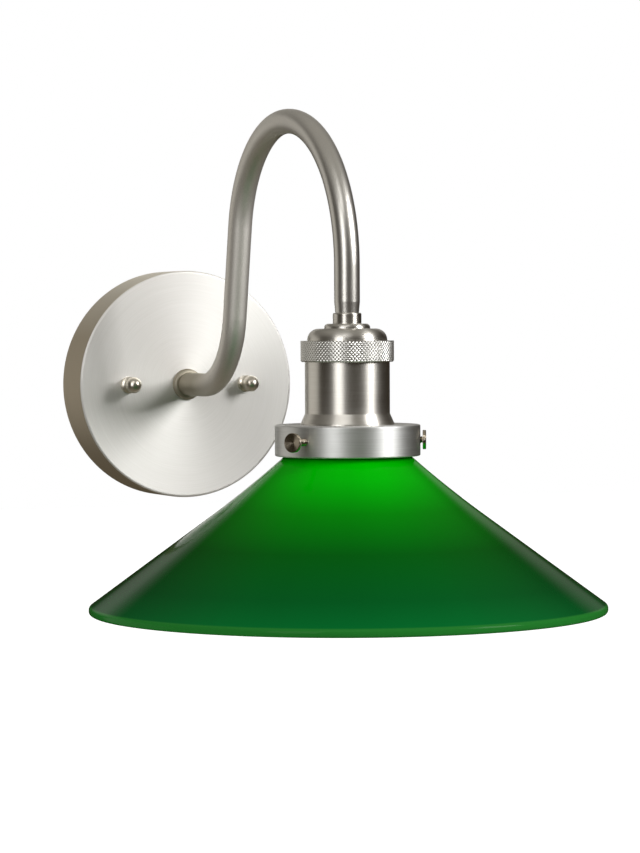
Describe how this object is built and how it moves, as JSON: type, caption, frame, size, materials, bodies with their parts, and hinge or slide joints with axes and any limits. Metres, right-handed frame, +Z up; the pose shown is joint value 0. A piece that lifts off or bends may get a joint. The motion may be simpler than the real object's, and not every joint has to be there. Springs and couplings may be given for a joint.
{
  "type": "gooseneck wall sconce",
  "caption": "Gooseneck wall sconce: round canopy, hooked tube arm, knurled metal socket with a flat fitter and thumbscrews, and a green cased-glass cone shade.",
  "frame": {"origin": "on the wall plane, midway between the two wall-box screws, behind the centre of the canopy", "axes": "+Z up, +Y into the wall, the arm and shade on the -Y side in the plane x = 0"},
  "size_m": [0.2316, 0.3351, 0.2286],
  "materials": {
    "satin_nickel": "satin brushed nickel plate",
    "zinc_steel": "zinc plate",
    "green_screw": "green dyed zinc",
    "black_plastic": "moulded",
    "phenolic": "moulded insulator",
    "nickel_brass": "nickel plated brass",
    "brass": "bare brass",
    "green_cased_glass": "glossy green over opal white",
    "bulb_glass": "white coated glass",
    "bulb_cap": "rolled",
    "bulb_insulator": "black glass",
    "solder": "solder"
  },
  "bodies": {
    "fixture": {"canopy": "satin_nickel", "mounting_crossbar": "zinc_steel", "canopy_studs": "zinc_steel", "stud_jam_nuts": "zinc_steel", "ground_cup_washer": "zinc_steel", "ground_screw": "green_screw", "arm_nipple": "zinc_steel", "nipple_lock_washer": "zinc_steel", "nipple_lock_nut": "zinc_steel", "base_collar": "satin_nickel", "arm_tube": "satin_nickel", "arm_coupling": "satin_nickel", "socket_nipple": "zinc_steel", "cap_washer": "satin_nickel", "socket_cap": "satin_nickel", "cap_lock_nut": "zinc_steel", "insulating_bushing": "black_plastic", "socket_shell": "satin_nickel", "socket_body": "phenolic", "screw_shell": "nickel_brass", "centre_contact": "brass", "terminal_screws": "brass", "shade_holder": "satin_nickel", "retaining_ring": "zinc_steel", "glass_shade": "green_cased_glass"},
    "knurled_ring": {"knurled_ring": "satin_nickel"},
    "ball_nut_left": {"ball_nut_left": "satin_nickel"},
    "ball_nut_right": {"ball_nut_right": "satin_nickel"},
    "thumbscrew_left": {"thumbscrew_left": "satin_nickel"},
    "thumbscrew_right": {"thumbscrew_right": "satin_nickel"},
    "thumbscrew_back": {"thumbscrew_back": "satin_nickel"},
    "bulb": {"bulb_glass": "bulb_glass", "bulb_screw_cap": "bulb_cap", "bulb_insulator": "bulb_insulator", "bulb_contact": "solder"}
  },
  "joints": [
    {"name": "thumbscrew_left_travel", "type": "slide", "parent": "fixture", "child": "thumbscrew_left", "axis": [-0.866, -0.5, 0], "range_m": [-0.0069, 0.0012]},
    {"name": "thumbscrew_right_travel", "type": "slide", "parent": "fixture", "child": "thumbscrew_right", "axis": [0.891, -0.454, 0], "range_m": [0, 0.007]},
    {"name": "thumbscrew_back_travel", "type": "slide", "parent": "fixture", "child": "thumbscrew_back", "axis": [-0.0523, 0.9986, 0], "range_m": [0, 0.007]},
    {"name": "ball_nut_left_travel", "type": "slide", "parent": "fixture", "child": "ball_nut_left", "axis": [0, -1, 0], "range_m": [0, 0.012]},
    {"name": "ball_nut_right_travel", "type": "slide", "parent": "fixture", "child": "ball_nut_right", "axis": [0, -1, 0], "range_m": [0, 0.012]},
    {"name": "bulb_travel", "type": "slide", "parent": "fixture", "child": "bulb", "axis": [0, 0, -1], "range_m": [0, 0.11]},
    {"name": "knurled_ring_turn", "type": "hinge", "parent": "fixture", "child": "knurled_ring", "pos_m": [0, -0.2193, 0.0178], "axis": [0, 0, 1], "range_deg": [0, 1080]}
  ]
}
